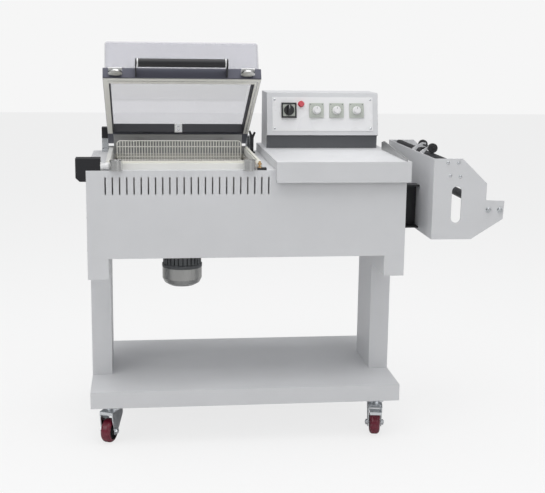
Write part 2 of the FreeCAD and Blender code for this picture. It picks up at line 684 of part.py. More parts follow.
def make_hood_lining():
    """Black heat-proof strips inside the frame, and the bracket between the two rear ones."""
    length = "hood_rear - hood_front - hood_bar_front - 14"
    near = f"{FRONT} + hood_bar_front"
    inner = "hood_width - 2 * hood_bar"
    strips = []
    for number, (x, y, wide, deep) in enumerate((
            ("hood_bar", near, "2.5", length),
            ("hood_width - hood_bar - 2.5", near, "2.5", length),
            ("hood_bar + 2.5", f"{REAR} - 20", f"0.5 * ({inner}) - 15.5", "6"),
            (f"hood_bar + 0.5 * ({inner}) + 13", f"{REAR} - 20", f"0.5 * ({inner}) - 15.5",
             "6"))):
        strip = new_hood_piece(f"lining_{number}")
        pad(strip, "XY_Plane", [rectangle(x, y, wide, deep)], "hood_height - 2",
            offset=f"{UNDER} + 1")
        strips.append(strip)
    group("hood_lining", strips)
    bracket = new_hood_body("rear_bracket")
    pad(bracket, "XZ_Plane", [rectangle(f"hood_bar + 0.5 * ({inner}) - 12.5", f"{UNDER} + 1",
                                        "25", "hood_height - 2")], "5",
        offset=f"{REAR} - 14")


def make_armatures():
    """Round plates that the magnets pull, each with a stem and a bracket on the front bar."""
    discs, arms = [], []
    for side, place_x in (("left", "magnet_left"), ("right", "magnet_right")):
        x, y = f"{place_x} - hood_left", "magnet_y - hinge_y"
        disc = new_hood_piece("armature_" + side)
        low = "magnet_height + 0.4 - hinge_z"
        pad(disc, "XY_Plane", [circle(x, y, "disc_radius")], "5", offset=low)
        pad(disc, "XY_Plane", [circle(x, y, "5")], "12", offset=low)
        arm = new_hood_piece("armature_bracket_" + side)
        pad(arm, "XY_Plane", [rectangle(f"{x} - 20", f"{y} - 12", "40", "28")], "3",
            offset=f"{low} + 12")
        pad(arm, "XY_Plane", [rectangle(f"{x} - 20", f"{y} + 13", "40", "3")], "8.8",
            offset=f"{low} + 6.2")
        discs.append(disc)
        arms.append(arm)
    group("armatures", discs)
    group("armature_brackets", arms)


def make_handle():
    """Pull handle: a rod between two side plates, and the thick grip tube on the rod."""
    frame = new_hood_body("handle_frame")
    low, face = f"{UNDER} + 2", FRONT
    axis = ("handle_y - hinge_y", "handle_z - hinge_z")
    pad(frame, "YZ_Plane", [circle(*axis, "5")], "handle_length + 18",
        offset="handle_left - hood_left - 9")
    outline = [(face, low), (face, f"{UNDER} + hood_height"), (f"{axis[0]} + 9", f"{axis[1]} + 10"),
               (f"{axis[0]} - 9", f"{axis[1]} + 10"), (f"{axis[0]} - 9", f"{axis[1]} - 8"),
               (f"{FRONT} - 8", low)]
    for x in ("handle_left - 9", "handle_left + handle_length + 5"):
        pad(frame, "YZ_Plane", [outline], "4", offset=f"{x} - hood_left")
    grip = new_hood_body("handle_grip")
    pad(grip, "YZ_Plane", [circle(*axis, "handle_radius"), circle(*axis, running("5"))],
        "handle_length", offset="handle_left - hood_left")


# ---------------------------------------------------------------- film cradle

def cradle_outline():
    """Outline of the cradle's end plates, from their upper left corner line."""
    return [("0", "-cradle_bottom"), ("125", "-cradle_bottom"), ("223", "-151"), ("226", "-95"),
            ("168", "-93"), ("168", "-41"), ("89", "cradle_top"), ("0", "cradle_top")]


def roller_axes():
    """Where the cradle's rollers run: two that carry the film roll and the guide above."""
    return [("roller_near", "-roller_drop - 40"), ("roller_far", "-roller_drop"),
            ("guide_x", "guide_z")]


def make_end_plate(label, y, bore):
    """End plate of the film cradle, with the long slot and the rollers' blind bores."""
    body = new_body(label, "cradle_left", y, "0")
    pad(body, "XZ_Plane", [cradle_outline()], "cradle_sheet", back=True)
    pocket(body, "XZ_Plane", [rectangle("59", "-146", "31", "81")], "cradle_sheet")
    for z in ("-146", "-65"):
        pocket(body, "XZ_Plane", [circle("74.5", z, "15.5")], "cradle_sheet")
    bores = [circle(x, z, running("roller_pin")) for x, z in roller_axes()]
    pocket(body, "XZ_Plane", bores, "bore_depth", offset=bore)


def make_cradle_side():
    """Long side wall of the cradle, with its folded edge and the lugs of the punch wheels."""
    body = new_body("cradle_side", "cradle_left", "cradle_front + cradle_sheet",
                    "-cradle_bottom")
    long = "cradle_depth - 2 * cradle_sheet"
    high = "cradle_bottom + cradle_top"
    pad(body, "XZ_Plane", [[("0", "0"), ("14", "0"), ("14", "3"), ("3", "3"), ("3", high),
                            ("0", high)]], long, back=True)
    axis = "cradle_bottom + guide_z + punch_rise"
    lug = [("0", f"{high} - 8"), ("8", f"{high} - 8"), ("20", f"{axis} - 8"),
           ("guide_x + 7", f"{axis} - 8"), ("guide_x + 7", f"{axis} + 6"),
           ("guide_x - 6", f"{axis} + 8"), ("0", f"{high} + 4")]
    for y in ("166", "264"):
        pad(body, "XZ_Plane", [lug], "4", offset=y, back=True)
    pocket(body, "XZ_Plane", [circle("guide_x", axis, running("3"))], "120", offset="160")


def make_cradle_arms():
    """Two channels that carry the cradle on the casing's right side, open to the front."""
    arms = []
    for number, y in enumerate(("150", "430")):
        arm = new_piece(f"arm_{number}", "body_width", y, "-205")
        pad(arm, "YZ_Plane", [[("0", "0"), ("46", "0"), ("46", "138"), ("0", "138"),
                               ("0", "133"), ("41", "133"), ("41", "5"), ("0", "5")]],
            "cradle_left - body_width")
        arms.append(arm)
    group("cradle_arms", arms)


def make_punch_wheels():
    """Two wheels that prick air holes in the film, on one short spindle in the lugs."""
    body = new_body("punch_wheels", "cradle_left + guide_x", "cradle_front + cradle_sheet",
                    "guide_z + punch_rise")
    pad(body, "XZ_Plane", [circle("0", "0", "3")], "138", offset="148", back=True)
    for y in ("152", "272"):
        pad(body, "XZ_Plane", [circle("0", "0", "punch_radius")], "10", offset=y, back=True)


def make_roller(label, x, z, radius):
    """Roller between the cradle's end plates, turning on its own end pins."""
    body = new_body(label, f"cradle_left + {x}", "cradle_front + cradle_sheet", z)
    long = "cradle_depth - 2 * cradle_sheet"
    pad(body, "XZ_Plane", [circle("0", "0", radius)], f"{long} - 1", offset="0.5", back=True)
    pad(body, "XZ_Plane", [circle("0", "0", "roller_pin")], f"{long} + 2 * bore_depth - 0.6",
        offset="0.3 - bore_depth", back=True)


# ---------------------------------------------------------------- castors

CASTORS = {
    "front_left": ("castor_x", "castor_y", -24),
    "front_right": ("body_width - castor_x", "castor_y", -9),
    "rear_left": ("castor_x", "body_depth - castor_y", 14),
    "rear_right": ("body_width - castor_x", "body_depth - castor_y", 28),
}
BRAKED = ("front_right", "rear_left")


def place_castor(item, corner):
    """Put a castor piece under the shelf: its own origin is on the swivel axis."""
    x, y, angle = CASTORS[corner]
    place(item, x, y, "-shelf_drop - shelf_thick")
    turn(item, angle, Vector(0, 0, 1))


def make_castor_plate(corner):
    """Fixed top plate with its bearing race, four bolt holes and the stem bore."""
    body = DOCUMENT.addObject("PartDesign::Body", "plate_" + corner)
    x, y, _ = CASTORS[corner]
    place(body, x, y, "-shelf_drop - shelf_thick")
    bore = circle("0", "0", running("stem_radius"))
    pad(body, "XY_Plane", [rectangle("-46", "-34", "92", "68"), bore], "4", back=True)
    holes = [circle(f"{i} * 35", f"{j} * 25", "4.2") for i in (-1, 1) for j in (-1, 1)]
    pocket(body, "XY_Plane", holes, "5")
    pad(body, "XY_Plane", [circle("0", "0", "28"), bore], "7", offset="-4", back=True)
    pad(body, "XY_Plane", [circle("0", "0", "25"), bore], "3", offset="-11", back=True)
    return body


def make_fork(corner):
    """Swivelling fork: stem, domed crown, two tapering legs and the wheel's axle bolt."""
    body = new_body("castor_fork_" + corner)
    place_castor(body, corner)
    axle = "castor_wheel - floor_gap"
    inside = "castor_width / 2 + castor_play"
    pad(body, "XY_Plane", [circle("0", "0", "29")], "6", offset="-20.4")
    pad(body, "XY_Plane", [circle("0", "0", "stem_radius")], "17", offset="-18")
    ear = [("-56", "-25"), ("-56", "-38"), ("-46", "-42")] if corner in BRAKED else []
    leg = [("27", "-20"), ("-castor_trail - 22", "-20"), *ear,
           ("-castor_trail - 20", "-46"), ("-castor_trail - 10", f"{axle} - 9"),
           ("-castor_trail - 5", f"{axle} - 13"), ("-castor_trail + 5", f"{axle} - 13"),
           ("-castor_trail + 12", f"{axle} - 8"), ("27", "-42")]
    for start in (inside, f"-({inside}) - 3"):
        pad(body, "YZ_Plane", [leg], "3", offset=start)
    side, across = f"-({inside}) - 3", f"2 * ({inside}) + 6"
    pad(body, "XY_Plane", [rectangle(side, "-castor_trail - 22", across, "castor_trail + 49")],
        "4", offset="-24")
    for end in ("-castor_trail - 22", "24"):
        pad(body, "XY_Plane", [rectangle(side, end, across, "3")], "10", offset="-30")
    if corner in BRAKED:
        pocket(body, "YZ_Plane", [circle("-51", "-33", running("3"))], "60", offset="30")
    pad(body, "YZ_Plane", [circle("-castor_trail", axle, "axle_radius")],
        f"2 * ({inside}) + 22", offset=f"-({inside}) - 11")
    for start in (f"{inside} + 3", f"-({inside}) - 9"):
        pad(body, "YZ_Plane", [hexagon("-castor_trail", axle, 9)], "6", offset=start)


def make_wheel(corner):
    """Castor wheel: rounded tread, dished web and hub, on a running bore."""
    body = new_body("castor_wheel_" + corner)
    place_castor(body, corner)
    x, y, angle = CASTORS[corner]
    trail = FreeCAD.Rotation(Vector(0, 0, 1), angle).multVec(Vector(0, -value("castor_trail"), 0))
    place(body, f"{x} + {trail.x:.4f}", f"{y} + {trail.y:.4f}",
          "-shelf_drop - shelf_thick - floor_gap + castor_wheel")
    half = "castor_width / 2"
    shoulder = [("9.5", "0"), ("5.5", "1.2"), ("1.8", "4.6"), ("0", "9.5")]
    left = [(f"-({half}) + {x}", f"castor_wheel - {z}") for x, z in reversed(shoulder)]
    right = [(f"{half} - {x}", f"castor_wheel - {z}") for x, z in shoulder]
    outline = [(f"-({half})", running("axle_radius")), (f"-({half})", "13"), ("-9", "15"),
               ("-9", "25"), (f"-({half})", "27"), *left, *right, (half, "27"), ("9", "25"),
               ("9", "15"), (half, "13"), (half, running("axle_radius"))]
    revolve(body, "XZ_Plane", [outline], axis="H_Axis")


def make_pedal(corner):
    """Brake pedal that tips about a pin through the fork's legs."""
    body = new_body("brake_pedal_" + corner)
    place_castor(body, corner)
    width = "castor_width + 2 * castor_play - 1"
    left = f"-({width}) / 2"
    pad(body, "XY_Plane", [rectangle(left, "-84", width, "36")], "3", offset="-34.5")
    pad(body, "XY_Plane", [rectangle(left, "-84", width, "3")], "9", offset="-40.5")
    pad(body, "YZ_Plane", [circle("-51", "-33", "3")], f"{width} + 7", offset=f"{left} - 3.5")


def make_castors():
    """Four swivel castors; two of them carry a brake pedal."""
    group("castor_plates", [make_castor_plate(corner) for corner in CASTORS])
    for corner in CASTORS:
        make_fork(corner)
        make_wheel(corner)
    for corner in BRAKED:
        make_pedal(corner)


# ---------------------------------------------------------------- build, check and write

def check_and_write():
    """Recompute, check every object and sub-part, and write one STEP file per sub-part."""
    DOCUMENT.recompute()
    failed = [f"{item.Name} {item.State}" for item in DOCUMENT.Objects
              if "Invalid" in item.State or "Error" in item.State]
    for item in SUBPARTS:
        if item.Shape.isNull() or not item.Shape.isValid() or not item.Shape.Solids:
            failed.append("no good solid in " + item.Label)
    if failed:
        raise RuntimeError("; ".join(failed))
    os.makedirs("parts", exist_ok=True)
    for item in SUBPARTS:
        item.Shape.exportStep(os.path.join("parts", item.Label + ".step"))
    print(len(SUBPARTS), "sub-parts written")


def main():
    """Make every sub-part of the machine."""
    make_body_shell()
    make_body_base()
    make_rails()
    make_leg("leg_left", "0")
    make_leg("leg_right", "body_width - rail_width")
    make_shelf()
    make_chamber_tub()
    make_product_grid()
    make_heater()
    make_motor()
    make_impeller()
    make_lower_jaws()
    make_rear_guard()
    make_magnets()
    make_switch()
    make_terminal()
    make_hinge_blocks()
    make_limit_switch()
    make_work_table()
    make_separator()
    make_control_box()
    make_panel()
    make_knobs()
    make_hood_frame()
    make_dome()
    make_upper_jaw()
    make_hood_lining()
    make_armatures()
    make_handle()
    make_end_plate("cradle_front_plate", "cradle_front", "cradle_sheet - bore_depth")
    make_end_plate("cradle_rear_plate", "cradle_front + cradle_depth - cradle_sheet", "0")
    make_cradle_side()
    make_cradle_arms()
    make_punch_wheels()
    for (x, z), (label, radius) in zip(roller_axes(), (
            ("film_roller_near", "roller_radius"), ("film_roller_far", "roller_radius"),
            ("guide_roller", "guide_radius"))):
        make_roller(label, x, z, radius)
    make_castors()
    check_and_write()


main()
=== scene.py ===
"""Looks of an L-bar sealer with a shrink chamber, dressed round its packed construction.

All lengths are in metres, in the machine's own frame: +X to the right along the machine,
+Y from the operator to the back, +Z up, with the floor at zero.
"""
import json
import logging
import math
from dataclasses import dataclass
from enum import Enum
from typing import Callable, Iterable, Sequence

import bmesh
import bpy
from mathutils import Matrix, Vector


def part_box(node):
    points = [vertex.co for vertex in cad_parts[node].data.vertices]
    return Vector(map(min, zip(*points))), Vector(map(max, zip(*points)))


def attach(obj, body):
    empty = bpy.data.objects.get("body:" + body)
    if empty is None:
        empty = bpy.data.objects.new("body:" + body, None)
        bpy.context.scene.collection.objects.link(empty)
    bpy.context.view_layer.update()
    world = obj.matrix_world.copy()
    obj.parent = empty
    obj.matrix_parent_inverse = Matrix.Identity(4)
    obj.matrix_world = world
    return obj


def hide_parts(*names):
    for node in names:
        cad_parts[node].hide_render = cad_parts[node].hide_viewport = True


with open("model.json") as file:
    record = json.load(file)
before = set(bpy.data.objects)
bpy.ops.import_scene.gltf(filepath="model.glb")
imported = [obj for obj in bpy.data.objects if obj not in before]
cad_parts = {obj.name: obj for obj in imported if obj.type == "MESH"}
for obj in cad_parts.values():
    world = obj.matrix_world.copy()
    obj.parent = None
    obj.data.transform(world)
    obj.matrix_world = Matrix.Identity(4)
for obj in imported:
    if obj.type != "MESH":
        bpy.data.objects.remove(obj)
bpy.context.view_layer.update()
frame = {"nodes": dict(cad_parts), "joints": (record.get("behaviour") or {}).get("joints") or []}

LOG = logging.getLogger("sealer")
Point = Sequence[float]


# ------------------------------------------------------------------ finishes

class Grain(Enum):
    """How a surface is made, which decides its fine relief."""

    POWDER = "powder"
    BRUSHED = "brushed"
    CAST = "cast"
    MOULDED = "moulded"
    PLATED = "plated"
    WOVEN = "woven"


GRAIN_SCALE: dict[Grain, tuple[float, float, float]] = {
    Grain.POWDER: (900.0, 900.0, 900.0),
    Grain.BRUSHED: (30.0, 2600.0, 2600.0),
    Grain.CAST: (420.0, 420.0, 420.0),
    Grain.MOULDED: (1500.0, 1500.0, 1500.0),
    Grain.PLATED: (160.0, 160.0, 160.0),
    Grain.WOVEN: (1100.0, 260.0, 1100.0),
}


@dataclass(frozen=True)
class Finish:
    """One surface finish, built as a node material.

    Args:
        name: The material's name.
        color: Base colour, linear red, green and blue.
        roughness: Middle value of the roughness.
        grain: How the surface is made.
        metallic: 1 for bare metal, 0 for paint and plastic.
        relief: Strength of the fine relief.
        mottle: How much the colour varies over the surface.
        coat: Weight of a clear coat.
        edge: Radius over which sharp edges are softened.
    """

    name: str
    color: tuple[float, float, float]
    roughness: float
    grain: Grain
    metallic: float = 0.0
    relief: float = 0.08
    mottle: float = 0.03
    coat: float = 0.0
    edge: float = 0.0012

    def material(self) -> bpy.types.Material:
        """Return this finish's material, made once.

        Returns:
            The node material.
        """
        made = bpy.data.materials.get(self.name)
        if made is None:
            made = bpy.data.materials.new(self.name)
            made.use_nodes = True
            self.build(made.node_tree)
        return made

    def build(self, tree: bpy.types.NodeTree) -> bpy.types.Node:
        """Fill a node tree with this finish.

        Args:
            tree: The empty material's node tree.

        Returns:
            The surface shader's node.
        """
        nodes, links = tree.nodes, tree.links
        shader = nodes["Principled BSDF"]
        shader.inputs["Metallic"].default_value = self.metallic
        shader.inputs["Coat Weight"].default_value = self.coat
        place = nodes.new("ShaderNodeTexCoord")
        fine = self.noise(tree, place, GRAIN_SCALE[self.grain], 4.0)
        slow = self.noise(tree, place, (7.0, 7.0, 7.0), 3.0)
        blend = nodes.new("ShaderNodeMath")
        blend.operation = "MULTIPLY_ADD"
        blend.inputs[1].default_value = 0.35
        links.new(fine.outputs["Fac"], blend.inputs[0])
        links.new(slow.outputs["Fac"], blend.inputs[2])
        ramp = nodes.new("ShaderNodeValToRGB")
        low, high = 1.0 - self.mottle, 1.0 + self.mottle
        ramp.color_ramp.elements[0].position = 0.35
        ramp.color_ramp.elements[1].position = 0.95
        ramp.color_ramp.elements[0].color = (*(c * low for c in self.color), 1.0)
        ramp.color_ramp.elements[1].color = (*(min(1.0, c * high) for c in self.color), 1.0)
        links.new(blend.outputs[0], ramp.inputs[0])
        links.new(ramp.outputs[0], shader.inputs["Base Color"])
        spread = nodes.new("ShaderNodeMapRange")
        spread.inputs["To Min"].default_value = max(0.02, self.roughness * 0.85)
        spread.inputs["To Max"].default_value = min(1.0, self.roughness * 1.15)
        links.new(slow.outputs["Fac"], spread.inputs["Value"])
        links.new(spread.outputs[0], shader.inputs["Roughness"])
        bump = nodes.new("ShaderNodeBump")
        bump.inputs["Strength"].default_value = self.relief
        bump.inputs["Distance"].default_value = 0.0005
        links.new(fine.outputs["Fac"], bump.inputs["Height"])
        if self.edge > 0.0:
            soft = nodes.new("ShaderNodeBevel")
            soft.samples = 4
            soft.inputs["Radius"].default_value = self.edge
            links.new(soft.outputs[0], bump.inputs["Normal"])
        links.new(bump.outputs[0], shader.inputs["Normal"])
        return shader

    @staticmethod
    def noise(tree: bpy.types.NodeTree, place: bpy.types.Node,
              scale: tuple[float, float, float], detail: float) -> bpy.types.Node:
        """Add a noise texture stretched by a scale on each axis.

        Args:
            tree: The material's node tree.
            place: The texture coordinate node.
            scale: Cells per metre along X, Y and Z.
            detail: Octaves of the noise.

        Returns:
            The noise node.
        """
        mapping = tree.nodes.new("ShaderNodeMapping")
        mapping.inputs["Scale"].default_value = scale
        texture = tree.nodes.new("ShaderNodeTexNoise")
        texture.inputs["Scale"].default_value = 1.0
        texture.inputs["Detail"].default_value = detail
        tree.links.new(place.outputs["Object"], mapping.inputs["Vector"])
        tree.links.new(mapping.outputs["Vector"], texture.inputs["Vector"])
        return texture


@dataclass(frozen=True)
class ClearFinish(Finish):
    """A clear sheet: mostly see-through, with a faint tint and a glossy skin.

    Args:
        opacity: Share of the surface that reads as tinted solid.
    """

    opacity: float = 0.3

    def build(self, tree: bpy.types.NodeTree) -> bpy.types.Node:
        """Fill a node tree with a tinted clear sheet.

        Args:
            tree: The empty material's node tree.

        Returns:
            The surface shader's node.
        """
        shader = super().build(tree)
        shader.inputs["Alpha"].default_value = self.opacity
        return shader


LIGHT_GREY = Finish("light grey powder coat", (0.70, 0.705, 0.72), 0.42, Grain.POWDER, relief=0.10)
STAINLESS = Finish("brushed stainless", (0.62, 0.61, 0.58), 0.3, Grain.BRUSHED, 1.0, 0.12, 0.06)
ALUMINIUM = Finish("anodised aluminium", (0.42, 0.42, 0.42), 0.42, Grain.BRUSHED, 0.7, 0.08, 0.05)
DARK_BAR = Finish("dark anodised bar", (0.085, 0.087, 0.115), 0.38, Grain.BRUSHED, 0.3, 0.08, 0.1)
WHITE_WIRE = Finish("white coated wire", (0.88, 0.87, 0.82), 0.35, Grain.MOULDED, edge=0.0)
WHITE_ENAMEL = Finish("white enamel", (0.82, 0.82, 0.82), 0.35, Grain.POWDER)
MOTOR_GREY = Finish("cast motor grey", (0.10, 0.105, 0.11), 0.5, Grain.CAST, 0.2, 0.3, 0.1)
BARE_CAST = Finish("bright cast cover", (0.40, 0.40, 0.39), 0.32, Grain.CAST, 0.9, 0.2, 0.08)
SILICONE = Finish("cream silicone", (0.86, 0.85, 0.77), 0.55, Grain.MOULDED)
GLASS_CLOTH = Finish("white glass cloth tape", (0.80, 0.79, 0.74), 0.5, Grain.WOVEN, relief=0.2)
NICKEL = Finish("nickel plate", (0.66, 0.66, 0.65), 0.24, Grain.PLATED, 1.0, 0.03, 0.05)
BLACK_PAINT = Finish("satin black paint", (0.014, 0.014, 0.017), 0.45, Grain.POWDER, mottle=0.15)
WHITE_PLASTIC = Finish("white plastic", (0.84, 0.84, 0.84), 0.3, Grain.MOULDED, relief=0.04)
BRASS = Finish("bright brass", (0.78, 0.52, 0.26), 0.26, Grain.PLATED, 1.0, 0.04, 0.06)
DIAL_GREY = Finish("pale green-grey plastic", (0.52, 0.55, 0.50), 0.4, Grain.MOULDED)
BLACK_PLASTIC = Finish("black plastic", (0.02, 0.02, 0.023), 0.38, Grain.MOULDED, mottle=0.15)
BLACK_STRIP = Finish("black sealing strip", (0.034, 0.034, 0.042), 0.5, Grain.MOULDED, mottle=0.2)
BLACK_RUBBER = Finish("black rubber grip", (0.012, 0.012, 0.015), 0.5, Grain.MOULDED, relief=0.15,
                      mottle=0.2)
ZINC = Finish("zinc plate", (0.66, 0.68, 0.70), 0.2, Grain.PLATED, 1.0, 0.06, 0.12)
RED_TREAD = Finish("wine red polyurethane", (0.16, 0.010, 0.028), 0.32, Grain.MOULDED, coat=0.2)
BLACK_HUB = Finish("black wheel web", (0.02, 0.018, 0.02), 0.4, Grain.MOULDED)
RED_LENS = Finish("red lamp lens", (0.62, 0.02, 0.05), 0.12, Grain.MOULDED, coat=0.6)
FACE_PLATE = Finish("white face plate", (0.86, 0.86, 0.87), 0.28, Grain.MOULDED, relief=0.03,
                    mottle=0.01)
MARK_GREY = Finish("printed grey", (0.16, 0.17, 0.17), 0.5, Grain.MOULDED, edge=0.0)
JAW_CREAM = Finish("cream enamelled jaw", (0.86, 0.86, 0.83), 0.35, Grain.POWDER, relief=0.06)
# Painted shade: this dark grey stands in for the shade in the recess under the control cabinet.
PLINTH_SHADE_GREY = Finish("painted shade grey under cabinet", (0.13, 0.135, 0.145), 0.5, Grain.POWDER)
ACRYLIC = ClearFinish("clear acrylic", (0.62, 0.62, 0.69), 0.06, Grain.MOULDED, relief=0.0,
                      mottle=0.02, edge=0.0, opacity=0.30)

NODE_FINISHES: dict[str, Finish] = {
    "body_shell": LIGHT_GREY, "body_base": LIGHT_GREY, "rails": LIGHT_GREY,
    "leg_left": LIGHT_GREY, "leg_right": LIGHT_GREY, "shelf": LIGHT_GREY,
    "chamber_tub": STAINLESS, "heater": STAINLESS, "motor": MOTOR_GREY, "impeller": BARE_CAST,
    "lower_jaw": JAW_CREAM, "seal_rubber": SILICONE, "rear_guard": ALUMINIUM,
    "magnets": NICKEL, "switch_housing": BLACK_PAINT, "switch_gland": WHITE_PLASTIC,
    "wire_terminal": BRASS, "hinge_blocks": BLACK_PAINT, "hinge_pins": NICKEL,
    "limit_switch": BLACK_PAINT, "work_table": LIGHT_GREY, "film_separator": ALUMINIUM,
    "control_box": LIGHT_GREY, "control_panel": FACE_PLATE, "switch_plate": BLACK_PLASTIC,
    "pilot_lamp": RED_LENS, "dial_plates": DIAL_GREY, "switch_knob": BLACK_PLASTIC,
    "heat_dial": WHITE_PLASTIC, "seal_dial": WHITE_PLASTIC, "cool_dial": WHITE_PLASTIC,
    "hood_frame": DARK_BAR, "hood_dome": ACRYLIC, "upper_jaw": GLASS_CLOTH,
    "hood_lining": BLACK_STRIP, "rear_bracket": WHITE_ENAMEL, "armatures": NICKEL,
    "armature_brackets": WHITE_ENAMEL, "handle_frame": BLACK_PAINT, "handle_grip": BLACK_RUBBER,
    "cradle_front_plate": LIGHT_GREY, "cradle_rear_plate": LIGHT_GREY,
    # cradle_arms: satin black on the brackets; the black back web of their channel stands in for
    # the shade in the gap between casing and cradle side, which is painted shade.
    "cradle_side": LIGHT_GREY, "cradle_arms": BLACK_PAINT, "punch_wheels": BLACK_PLASTIC,
    "film_roller_near": BLACK_RUBBER, "film_roller_far": BLACK_RUBBER,
    "guide_roller": BLACK_RUBBER, "castor_plates": ZINC,
    "brake_pedal_front_right": ZINC, "brake_pedal_rear_left": ZINC,
}


# ------------------------------------------------------------------ shaping helpers

def finish_mesh(name: str, shape: bmesh.types.BMesh, finish: Finish, body: str,
                smooth_angle: float = 35.0) -> bpy.types.Object:
    """Turn a shape into an object that rides on a body.

    Args:
        name: The piece's name.
        shape: The shape, in the machine's frame. It is freed.
        finish: What it is finished with.
        body: The body that carries it.
        smooth_angle: Edges flatter than this, in degrees, are shaded smooth.

    Returns:
        The new object.
    """
    bmesh.ops.recalc_face_normals(shape, faces=shape.faces)
    mesh = bpy.data.meshes.new(name)
    shape.to_mesh(mesh)
    shape.free()
    piece = bpy.data.objects.new(name, mesh)
    bpy.context.scene.collection.objects.link(piece)
    mesh.materials.append(finish.material())
    mesh.shade_smooth()
    mesh.set_sharp_from_angle(angle=math.radians(smooth_angle))
    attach(piece, body)
    return piece


def add_tube(shape: bmesh.types.BMesh, path: Sequence[Point], radius: float, sides: int = 8,
             closed: bool = False) -> None:
    """Add a round tube along a path of points.

    Args:
        shape: The shape that it is added to.
        path: The points of its centre line.
        radius: The tube's radius.
        sides: Facets round the tube.
        closed: True for a ring.
    """
    points = [Vector(p) for p in path]
    count = len(points)
    rings = []
    side = None
    for index, point in enumerate(points):
        before = points[(index - 1) % count] if closed or index else point
        after = points[(index + 1) % count] if closed or index < count - 1 else point
        along = (after - before).normalized()
        if side is None:
            side = along.orthogonal().normalized()
        side = (side - along * side.dot(along)).normalized()
        other = along.cross(side)
        turns = [math.tau * k / sides for k in range(sides)]
        rings.append([shape.verts.new(point + radius * (math.cos(t) * side + math.sin(t) * other))
                      for t in turns])
    spans = list(zip(rings, rings[1:])) + ([(rings[-1], rings[0])] if closed else [])
    for one, two in spans:
        for k in range(sides):
            shape.faces.new((one[k], one[(k + 1) % sides], two[(k + 1) % sides], two[k]))
    if not closed:
        shape.faces.new(list(reversed(rings[0])))
        shape.faces.new(rings[-1])


def add_lathe(shape: bmesh.types.BMesh, profile: Sequence[tuple[float, float]], place: Matrix,
              sides: int = 24) -> None:
    """Add a solid turned about the local Z axis.

    Args:
        shape: The shape that it is added to.
        profile: Radius and height pairs from the lower end to the upper, ending on the axis
            or in an open bore that is closed by its own first ring.
        place: Where the local axes lie.
        sides: Facets round the axis.
    """
    rings = []
    for radius, height in profile:
        if radius < 1e-7:
            rings.append([shape.verts.new(place @ Vector((0.0, 0.0, height)))])
            continue
        rings.append([shape.verts.new(place @ Vector((radius * math.cos(math.tau * k / sides),
                                                      radius * math.sin(math.tau * k / sides),
                                                      height))) for k in range(sides)])
    closed = len(rings[0]) > 1 and len(rings[-1]) > 1
    pairs = list(zip(rings, rings[1:])) + ([(rings[-1], rings[0])] if closed else [])
    for one, two in pairs:
        for k in range(sides):
            following = (k + 1) % sides
            if len(one) == 1:
                shape.faces.new((one[0], two[following], two[k]))
            elif len(two) == 1:
                shape.faces.new((one[k], one[following], two[0]))
            else:
                shape.faces.new((one[k], one[following], two[following], two[k]))


def add_prism(shape: bmesh.types.BMesh, outline: Sequence[tuple[float, float]], thick: float,
              place: Matrix) -> None:
    """Add a flat plate with the given outline, raised along the local Z axis.

    Args:
        shape: The shape that it is added to.
        outline: Corner points in the plate's own plane.
        thick: Its thickness.
        place: Where the local axes lie.
    """
    low = [shape.verts.new(place @ Vector((x, y, 0.0))) for x, y in outline]
    high = [shape.verts.new(place @ Vector((x, y, thick))) for x, y in outline]
    count = len(outline)
    shape.faces.new(list(reversed(low)))
    shape.faces.new(high)
    for k in range(count):
        following = (k + 1) % count
        shape.faces.new((low[k], low[following], high[following], high[k]))


def looking(place: Point, direction: Point) -> Matrix:
    """Return axes at a place whose local Z points in a direction.

    Args:
        place: The origin.
        direction: Where local Z points.

    Returns:
        The matrix of those axes.
    """
    turn = Vector(direction).to_track_quat("Z", "Y").to_matrix().to_4x4()
    return Matrix.Translation(Vector(place)) @ turn


def polygon(radius: float, corners: int, turn: float = 0.0) -> list[tuple[float, float]]:
    """Return the corners of a regular polygon.

    Args:
        radius: Distance of the corners from the middle.
        corners: How many there are.
        turn: Angle of the first corner in degrees.

    Returns:
        The corner points.
    """
    angles = [math.radians(turn) + math.tau * k / corners for k in range(corners)]
    return [(radius * math.cos(a), radius * math.sin(a)) for a in angles]


def bar(low: tuple[float, float], high: tuple[float, float]) -> list[tuple[float, float]]:
    """Return the corners of an upright rectangle.

    Args:
        low: Its lower left corner.
        high: Its upper right corner.

    Returns:
        The corner points, anticlockwise from the lower left.
    """
    return [low, (high[0], low[1]), high, (low[0], high[1])]


@dataclass(frozen=True)
class Fastener:
    """A domed screw or a hexagon bolt head with its washer.

    Args:
        radius: Radius of the head.
        height: Height of the head.
        hexagon: True for a bolt head, False for a domed screw with a cross slot.
        washer: Radius of the washer, or 0 for none.
    """

    radius: float
    height: float
    hexagon: bool = False
    washer: float = 0.0

    def add(self, shape: bmesh.types.BMesh, place: Point, direction: Point) -> None:
        """Add one head to a shape.

        Args:
            shape: The shape that it is added to.
            place: Where it sits on the surface.
            direction: The surface's outward normal.
        """
        axes = looking(place, direction)
        base = 0.0
        if self.washer > 0.0:
            thick = 0.18 * self.radius
            add_lathe(shape, [(0.0, 0.0), (self.washer, 0.0), (self.washer, thick), (0.0, thick)],
                      axes, 20)
            base = thick
        r, top = self.radius, base + self.height
        if self.hexagon:
            add_prism(shape, polygon(r, 6), self.height * 0.85,
                      axes @ Matrix.Translation((0.0, 0.0, base)))
            add_lathe(shape, [(r * 0.8, base), (r * 0.8, top), (0.0, top)], axes, 18)
            return
        add_lathe(shape, [(0.0, base), (r, base), (r, base + 0.25 * self.height),
                          (r * 0.8, base + 0.75 * self.height), (r * 0.4, top), (0.0, top)],
                  axes, 18)
        arm = r * 0.5
        for turn in (0.0, math.pi / 2):
            cross = axes @ Matrix.Rotation(turn, 4, "Z")
            add_prism(shape, bar((-arm, -arm * 0.18), (arm, arm * 0.18)), self.height * 0.1,
                      cross @ Matrix.Translation((0.0, 0.0, top - self.height * 0.04)))


